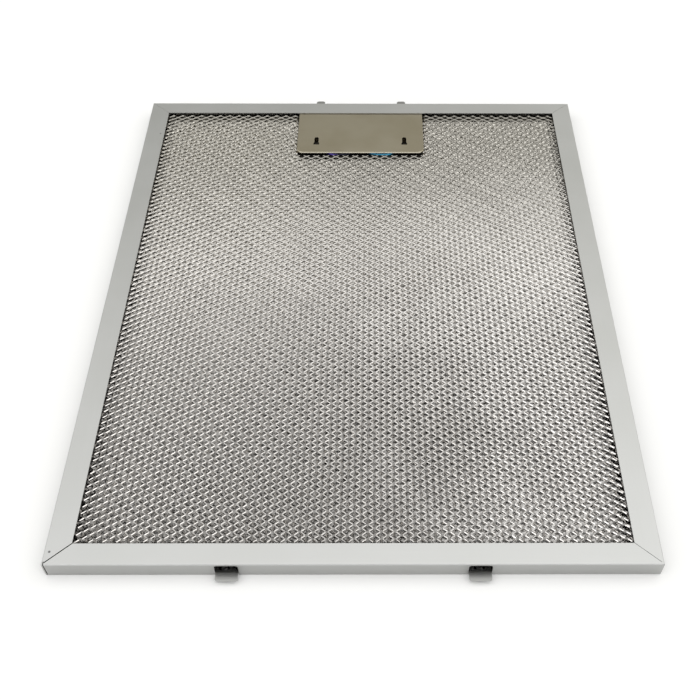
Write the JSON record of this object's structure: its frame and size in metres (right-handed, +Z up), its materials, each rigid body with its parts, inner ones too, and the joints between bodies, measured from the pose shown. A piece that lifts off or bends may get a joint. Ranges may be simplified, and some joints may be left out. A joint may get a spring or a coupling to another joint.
{
  "type": "cooker hood grease filter",
  "caption": "Flat rectangular grease filter: a folded aluminium frame round layers of expanded aluminium mesh, with front hooks and a sprung sliding latch at the rear.",
  "frame": {"origin": "middle of the underside, between the hooks' ends and the bolts' ends", "axes": "+X to the right along the front rail, +Y from the hooks to the latch, +Z up out of the face mesh"},
  "size_m": [0.26, 0.3282, 0.009],
  "materials": {
    "frame_aluminium": "satin, lightly brushed sheet",
    "mesh_aluminium": "bright expanded strands",
    "latch_steel": "satin pressed steel",
    "blued_steel": "temper-blued spring strip"
  },
  "bodies": {
    "filter": {"frame": "frame_aluminium", "face_mesh": "mesh_aluminium", "upper_mesh": "mesh_aluminium", "middle_mesh": "mesh_aluminium", "lower_mesh": "mesh_aluminium", "back_mesh": "mesh_aluminium", "latch_tray": "latch_steel", "latch_spring": "blued_steel"},
    "latch": {"latch_plate": "latch_steel"}
  },
  "joints": [
    {"name": "latch_slide", "type": "slide", "parent": "filter", "child": "latch", "axis": [0, -1, 0], "range_m": [0, 0.0042], "stiffness_N_per_m": 1200, "springref_m": -0.002, "deforming": ["latch_spring"]}
  ]
}
